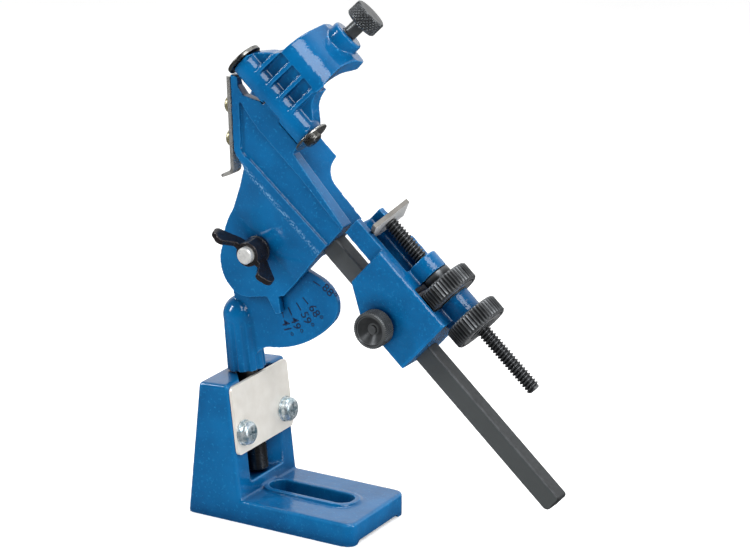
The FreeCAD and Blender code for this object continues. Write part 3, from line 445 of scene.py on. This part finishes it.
def make_materials():
    """Every finish, by a short name."""
    feed = tuple(JOINTS["feed_wheel_turn"]["axis"])
    bar = Vector(JOINTS["tailstock_slide"]["axis"])
    above_bar = Vector((-bar.z, 0, bar.x))
    seam_at = above_bar.dot(Vector(JOINTS["point_angle"]["pos_m"])) + SEAM_HEIGHT
    return {
        "enamel": enamel("blue_enamel", 0.12, 700.0),
        "seamed": enamel("blue_enamel_seam", 0.12, 700.0, (tuple(above_bar), seam_at)),
        "peel": enamel("blue_enamel_peel", 0.8, 430.0),
        "inlay": metal("dial_marks", (0.0, 0.012, 0.05), (0.0, 0.02, 0.08), (0.4, 0.5), 0.0),
        "oxide": metal("black_oxide", (0.012, 0.013, 0.015), (0.028, 0.03, 0.033), (0.26, 0.4), 0.7,
                       wear=(0.22, 0.23, 0.24)),
        "wheel": metal("black_oxide_turned", (0.016, 0.018, 0.02), (0.036, 0.039, 0.042), (0.28, 0.42), 0.75,
                       wear=(0.2, 0.21, 0.22), faced=(feed, (0.42, 0.43, 0.44))),
        "knob": metal("black_oxide_dished", (0.03, 0.033, 0.036), (0.06, 0.064, 0.068), (0.28, 0.4), 0.7,
                      wear=(0.13, 0.14, 0.145), faced=((0, 1, 0), (0.2, 0.21, 0.22))),
        # The bar's broad faces along Y get a lighter tone: a painted sheen.
        "bar": metal("bar_oxide", (0.012, 0.013, 0.014), (0.035, 0.038, 0.04), (0.36, 0.5), 0.5,
                     grain_scale=500.0, wear=(0.12, 0.13, 0.14),
                     faced=((0, 1, 0), (0.1, 0.11, 0.112))),
        "wing": metal("gloss_black", (0.008, 0.007, 0.008), (0.016, 0.014, 0.016), (0.14, 0.26), 0.0,
                      wear=(0.07, 0.06, 0.06)),
        "ground": metal("ground_steel", (0.05, 0.05, 0.05), (0.11, 0.11, 0.11), (0.22, 0.35), 1.0,
                        grain=(1, 1, 12), grain_scale=200.0),
        "nickel": metal("pale_nickel", (0.80, 0.765, 0.70), (0.86, 0.83, 0.77), (0.42, 0.55), 0.35,
                        grain_scale=160.0),
        "zinc": metal("bright_zinc", (0.2, 0.32, 0.38), (0.9, 0.95, 0.97), (0.2, 0.32), 0.7,
                      grain_scale=420.0),
        "yellow": metal("yellow_zinc", (0.36, 0.32, 0.16), (0.75, 0.70, 0.48), (0.2, 0.34), 0.8,
                        grain_scale=420.0),
        "bright": metal("bright_steel", (0.8, 0.8, 0.78), (1.0, 1.0, 0.98), (0.25, 0.4), 0.55),
        "strip": metal("strip_steel", (0.32, 0.32, 0.31), (0.52, 0.52, 0.50), (0.2, 0.34), 0.8,
                       wear=(0.85, 0.84, 0.80)),
        "rimmed": metal("dark_steel_bright_rim", (0.05, 0.05, 0.045), (0.11, 0.11, 0.10), (0.2, 0.35), 0.95,
                        wear=(0.8, 0.8, 0.78)),
        "dull": metal("dull_steel", (0.11, 0.105, 0.095), (0.2, 0.19, 0.175), (0.4, 0.55), 0.5,
                      grain_scale=120.0, faced=(feed, (0.75, 0.74, 0.72))),
    }


def paint(piece, material):
    """Gives a piece one finish all over."""
    piece.data.materials.clear()
    piece.data.materials.append(material)


# ---- castings and plain parts --------------------------------------------------------
def soften(node, voxel, rounds):
    """Rounds a casting's edges, as casting and thick enamel do."""
    piece = NODES[node]
    weld = piece.modifiers.new("weld", "WELD")
    weld.merge_threshold = WELD_REACH
    remesh = piece.modifiers.new("skin", "REMESH")
    remesh.mode = "VOXEL"
    remesh.voxel_size = voxel
    remesh.use_smooth_shade = True
    smooth = piece.modifiers.new("round", "SMOOTH")
    smooth.factor = 0.5
    smooth.iterations = rounds


def break_edges(node, width):
    """Takes the sharpness off a machined part's edges."""
    piece = NODES[node]
    weld = piece.modifiers.new("weld", "WELD")
    weld.merge_threshold = WELD_REACH
    bevel = piece.modifiers.new("bevel", "BEVEL")
    bevel.width = width
    bevel.segments = 2
    bevel.limit_method = "ANGLE"
    bevel.angle_limit = math.radians(SHARP_EDGE)
    for face in piece.data.polygons:
        face.use_smooth = True
    normals = piece.modifiers.new("normals", "WEIGHTED_NORMAL")
    normals.keep_sharp = True


def finish_castings(materials):
    """Rounds and paints the castings: node, fineness of the new skin, rounds, finish."""
    for node, voxel, rounds, finish in (("base_casting", 0.75 * MM, 4, "enamel"),
                                        ("swivel_bracket", 0.5 * MM, 6, "enamel"),
                                        ("drill_holder", 0.5 * MM, 6, "seamed"),
                                        ("clamp_arm", 0.45 * MM, 14, "enamel"),
                                        ("tailstock", 0.5 * MM, 5, "peel"),
                                        ("wing_nut", 0.3 * MM, 6, "wing")):
        soften(node, voxel, rounds)
        paint(NODES[node], materials[finish])


def finish_plain_parts(materials):
    """Breaks the edges of the machined parts and paints them: node, width, finish."""
    for node, width, finish in (("clamp_plate", 0.3 * MM, "nickel"),
                                ("clamp_plate_screws", 0.15 * MM, "zinc"),
                                ("clamp_plate_washers", 0.15 * MM, "zinc"),
                                ("pivot_post", 0.2 * MM, "ground"),
                                ("bracket_set_screw", 0.1 * MM, "oxide"),
                                ("pivot_bolt", 0.3 * MM, "bright"),
                                ("pivot_washer", 0.2 * MM, "oxide"),
                                ("lip_rest", 0.2 * MM, "strip"),
                                ("lip_rest_screws", 0.15 * MM, "yellow"),
                                ("slide_bar", 0.25 * MM, "bar"),
                                ("slide_bar_screws", 0.15 * MM, "oxide"),
                                ("hinge_pin", 0.2 * MM, "rimmed"),
                                ("hinge_washer", 0.2 * MM, "rimmed"),
                                ("hinge_screw", 0.15 * MM, "rimmed"),
                                ("clamp_pad", 0.3 * MM, "dull"),
                                ("shank_plate", 0.3 * MM, "dull")):
        break_edges(node, width)
        paint(NODES[node], materials[finish])


# ---- screws, wheels and knobs --------------------------------------------------------
def feed_screw(materials):
    """The long screw behind the shank plate, and the rivet that holds the plate on it."""
    axis = Axis("feed_wheel_turn")
    low, high = axis.span("feed_screw")
    plate_high = axis.span("shank_plate")[1]
    rivet_end = plate_high + OVERLAP
    shape = bmesh.new()
    threaded_rod(shape, axis, plate_high, high, FEED_SCREW_R, FEED_THREAD_DEPTH, FEED_PITCH)
    turned(shape, axis, [(0, low), (RIVET_R - RIVET_EDGE, low), (RIVET_R, low + RIVET_EDGE),
                         (RIVET_R, rivet_end), (0, rivet_end)], ROD_SIDES)
    paint(new_piece("feed_screw_threaded", shape, "feed", ["feed_screw"]), materials["oxide"])


def wheel(name, node, offset, body, materials):
    """A wheel with a straight knurl, a ring groove in each face and a short hub."""
    axis = Axis("feed_wheel_turn")
    low, high = axis.span(node)
    start = low + offset
    end = start + WHEEL_THICK
    bore = FEED_SCREW_R + WHEEL_BORE_GAP
    face = WHEEL_R - WHEEL_EDGE
    groove = WHEEL_R - WHEEL_GROOVE_IN
    profile = [(bore, low), (WHEEL_HUB_R, low), (WHEEL_HUB_R, start),
               (groove - WHEEL_GROOVE_HALF, start), (groove, start + WHEEL_GROOVE_DEPTH),
               (groove + WHEEL_GROOVE_HALF, start), (face, start)]
    profile += rim_rings(WHEEL_R, start + WHEEL_EDGE, end - WHEEL_EDGE, WHEEL_RIM_STEPS)
    profile += [(face, end), (groove + WHEEL_GROOVE_HALF, end),
                (groove, end - WHEEL_GROOVE_DEPTH), (groove - WHEEL_GROOVE_HALF, end)]
    if high > end + WHEEL_HUB_LEAST:
        profile += [(WHEEL_HUB_R, end), (WHEEL_HUB_R, high), (bore, high)]
    else:
        profile += [(bore, end)]
    shape = bmesh.new()
    turned(shape, axis, profile, SIDES_PER_TOOTH * WHEEL_TEETH,
           straight_knurl(WHEEL_R, WHEEL_TEETH, WHEEL_KNURL_DEPTH), closed=True)
    paint(new_piece(name, shape, body, [node], KNURL_SHARP), materials["wheel"])


def clamp_screw(materials):
    """The clamp's screw: a tip in the pad, a thread, a smooth neck and a diamond-knurled knob."""
    axis = Axis("clamp_screw_turn", reverse=True)
    low, high = axis.span("clamp_screw")
    pad_high = axis.span("clamp_pad")[1]
    knob = high - CLAMP_KNOB_THICK
    neck = knob - CLAMP_NECK
    tip_end = pad_high + CLAMP_TIP_INSIDE
    shape = bmesh.new()
    threaded_rod(shape, axis, pad_high + OVERLAP, neck, CLAMP_SCREW_R, CLAMP_THREAD_DEPTH, CLAMP_PITCH)
    turned(shape, axis, [(0, neck - OVERLAP), (CLAMP_SCREW_R, neck), (CLAMP_SCREW_R, knob + OVERLAP),
                         (0, knob + OVERLAP)], ROD_SIDES)
    turned(shape, axis, [(0, low), (CLAMP_TIP_R, low), (CLAMP_TIP_R, tip_end), (0, tip_end)], TIP_SIDES)
    profile = [(0, knob), (CLAMP_KNOB_R - KNOB_EDGE, knob)]
    profile += rim_rings(CLAMP_KNOB_R, knob + KNOB_EDGE, high - KNOB_EDGE, KNOB_RINGS)
    profile += [(CLAMP_KNOB_R - KNOB_EDGE, high), (CLAMP_KNOB_R - CLAMP_KNOB_FACE, high), (0, high)]
    turned(shape, axis, profile, SIDES_PER_TOOTH * CLAMP_KNOB_TEETH,
           diamond_knurl(CLAMP_KNOB_R, CLAMP_KNOB_TEETH, CLAMP_KNURL_DEPTH, CLAMP_KNURL_PITCH))
    paint(new_piece("clamp_screw_knurled", shape, "clamp_screw", ["clamp_screw"], KNURL_SHARP),
          materials["knob"])


def lock_screw(materials):
    """The tailstock's side screw, with a dished diamond-knurled knob and a centre pin."""
    axis = Axis("lock_screw_turn")
    low, high = axis.span("tailstock_lock_screw")
    knob = high - LOCK_KNOB_THICK
    step = high - LOCK_STEP_DEPTH
    dish = high - LOCK_DISH_DEPTH
    shape = bmesh.new()
    threaded_rod(shape, axis, low, knob + OVERLAP, LOCK_SHANK_R, LOCK_THREAD_DEPTH, LOCK_PITCH)
    profile = [(0, knob), (LOCK_KNOB_R - KNOB_EDGE, knob)]
    profile += rim_rings(LOCK_KNOB_R, knob + KNOB_EDGE, high - KNOB_EDGE, KNOB_RINGS)
    profile += [(LOCK_KNOB_R - KNOB_EDGE, high), (LOCK_LIP_R, high),
                (LOCK_LIP_R - LOCK_STEP_WIDTH, step), (LOCK_LIP_R - 2 * LOCK_STEP_WIDTH, step),
                (LOCK_DISH_FLOOR_R, dish), (LOCK_PIN_R, dish),
                (LOCK_PIN_R - LOCK_PIN_CHAMFER, dish + LOCK_PIN_SIDE), (0, dish + LOCK_PIN_HEIGHT)]
    turned(shape, axis, profile, SIDES_PER_TOOTH * LOCK_KNOB_TEETH,
           diamond_knurl(LOCK_KNOB_R, LOCK_KNOB_TEETH, LOCK_KNURL_DEPTH, LOCK_KNURL_PITCH))
    paint(new_piece("lock_screw_knurled", shape, "lock_screw", ["tailstock_lock_screw"],
                    KNURL_SHARP),
          materials["knob"])


# ---- dial marks ----------------------------------------------------------------------
def dial_tick(shape, pivot, angle):
    """One line of the dial, laid along a radius on the dial's face."""
    outwards = Vector((math.cos(angle), 0, math.sin(angle)))
    across = Vector((-math.sin(angle), 0, math.cos(angle))) * DIAL_TICK_WIDTH / 2
    front = DIAL_FACE_Y - DIAL_INLAY
    back = DIAL_FACE_Y + DIAL_TICK_SINK
    corners = []
    for y in (front, back):
        for reach, side in ((DIAL_TICK_FROM, -1), (DIAL_TICK_FROM, 1), (DIAL_TICK_TO, 1),
                            (DIAL_TICK_TO, -1)):
            place = outwards * reach + across * side
            corners.append(shape.verts.new((pivot.x + place.x, y, pivot.z + place.z)))
    shape.faces.new(corners[:4])
    shape.faces.new(corners[4:])
    for index in range(4):
        after = (index + 1) % 4
        shape.faces.new((corners[index], corners[after], corners[4 + after], corners[4 + index]))


def dial_number(label, pivot, angle, lean, material):
    """A number that reads outwards, leaning a little from its radius."""
    text = bpy.data.curves.new("dial_number_%d" % label, "FONT")
    text.body = "%d\u00b0" % label
    text.size = DIAL_DIGIT_SIZE
    text.align_x = "CENTER"
    text.align_y = "CENTER"
    text.extrude = DIAL_INLAY
    text.offset = DIAL_STROKE
    piece = bpy.data.objects.new(text.name, text)
    bpy.context.scene.collection.objects.link(piece)
    outwards = Vector((math.cos(angle), 0, math.sin(angle)))
    place = Vector((pivot.x, DIAL_FACE_Y, pivot.z)) + outwards * DIAL_DIGITS_AT
    upright = Matrix.Rotation(math.radians(90), 4, "X")
    piece.matrix_world = Matrix.Translation(place) @ Matrix.Rotation(lean - angle, 4, "Y") @ upright
    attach(piece, "bracket")
    text.materials.append(material)


def dial(materials):
    """The scale: ticks and numbers, as many degrees apart as their labels."""
    pivot = Vector(JOINTS["point_angle"]["pos_m"])
    shape = bmesh.new()
    for label in DIAL_LABELS:
        turn = math.radians(label - DIAL_LABELS[0])
        angle = math.radians(DIAL_FIRST_ANGLE) + turn
        dial_tick(shape, pivot, angle)
        dial_number(label, pivot, angle, turn * DIAL_DIGIT_LEAN, materials["inlay"])
    ticks = new_piece("dial_ticks", shape, "bracket")
    paint(ticks, materials["inlay"])


# ---- stage ---------------------------------------------------------------------------
def floor():
    """A pale paper floor that glows a little, and looks dim in reflections."""
    shape = bmesh.new()
    bmesh.ops.create_grid(shape, x_segments=1, y_segments=1, size=PAPER_HALF)
    mesh = bpy.data.meshes.new("floor")
    shape.to_mesh(mesh)
    shape.free()
    ground = bpy.data.objects.new("floor", mesh)
    ground.location.z = -PAPER_DROP
    bpy.context.scene.collection.objects.link(ground)
    shader = Shader("floor_paper")
    shader.set(Roughness=0.9, Specular_IOR_Level=0.1, Emission_Strength=PAPER_GLOW)
    rays = shader.nodes.new("ShaderNodeLightPath").outputs["Is Glossy Ray"]
    paper = shader.ramp(shader.noise(4.0), 0.3, 0.7, (0.88, 0.88, 0.88), (0.92, 0.92, 0.92))
    dimmed = shader.mix(rays, paper, (0.05, 0.05, 0.05))
    shader.link(dimmed, shader.out.inputs["Base Color"])
    shader.link(dimmed, shader.out.inputs["Emission Color"])
    paint(ground, shader.material)


def light(name, place, size, power):
    """A soft rectangular lamp that looks at the middle of the object."""
    lamp = bpy.data.lights.new(name, "AREA")
    lamp.shape = "RECTANGLE"
    lamp.size = size[0]
    lamp.size_y = size[1]
    lamp.energy = power
    holder = bpy.data.objects.new(name, lamp)
    holder.location = place
    holder.rotation_euler = (Vector(LIGHTS_AIM) - Vector(place)).to_track_quat("-Z", "Y").to_euler()
    bpy.context.scene.collection.objects.link(holder)


def studio():
    """A white room that is dim on the operator's side, with four soft lamps."""
    world = bpy.data.worlds.new("studio")
    world.use_nodes = True
    nodes = world.node_tree.nodes
    links = world.node_tree.links
    split = nodes.new("ShaderNodeSeparateXYZ")
    ramp = nodes.new("ShaderNodeMapRange")
    ramp.inputs["From Min"].default_value = ROOM_DIM_FROM
    ramp.inputs["From Max"].default_value = ROOM_DIM_TO
    ramp.inputs["To Min"].default_value = ROOM_DIM
    ramp.inputs["To Max"].default_value = ROOM_BRIGHT
    links.new(nodes.new("ShaderNodeTexCoord").outputs["Generated"], split.inputs[0])
    links.new(split.outputs["Y"], ramp.inputs["Value"])
    links.new(ramp.outputs["Result"], nodes["Background"].inputs["Strength"])
    nodes["Background"].inputs["Color"].default_value = (1, 1, 1, 1)
    bpy.context.scene.world = world
    bpy.context.scene.view_settings.view_transform = "Standard"
    light("overhead", place=(0.0, 0.3, 1.4), size=(0.9, 0.6), power=9)
    light("front_box", place=(0.78, -0.62, 1.3), size=(0.85, 0.85), power=13)
    light("left_key", place=(-1.2, -1.0, 0.9), size=(0.3, 0.8), power=15)
    light("right_fill", place=(1.4, -0.1, 0.5), size=(0.4, 0.9), power=8)


def camera():
    """A long lens at the operator's front right, a little above the object."""
    turn = math.radians(CAMERA_TURN)
    rise = math.radians(CAMERA_RISE)
    away = Vector((math.sin(turn) * math.cos(rise), -math.cos(turn) * math.cos(rise), math.sin(rise)))
    lens = bpy.data.cameras.new("camera")
    lens.lens = CAMERA_LENS
    lens.sensor_width = CAMERA_SENSOR
    lens.clip_start = CAMERA_NEAR
    eye = bpy.data.objects.new("camera", lens)
    eye.location = Vector(CAMERA_AIM) + away * CAMERA_DISTANCE
    eye.rotation_euler = (-away).to_track_quat("-Z", "Y").to_euler()
    bpy.context.scene.collection.objects.link(eye)
    bpy.context.scene.camera = eye


def main():
    materials = make_materials()
    finish_castings(materials)
    finish_plain_parts(materials)
    feed_screw(materials)
    wheel("feed_wheel_knurled", "feed_wheel", FEED_WHEEL_OFFSET, "feed_wheel", materials)
    wheel("lock_wheel_knurled", "lock_wheel", LOCK_WHEEL_OFFSET, "lock_wheel", materials)
    clamp_screw(materials)
    lock_screw(materials)
    dial(materials)
    floor()
    studio()
    camera()


main()
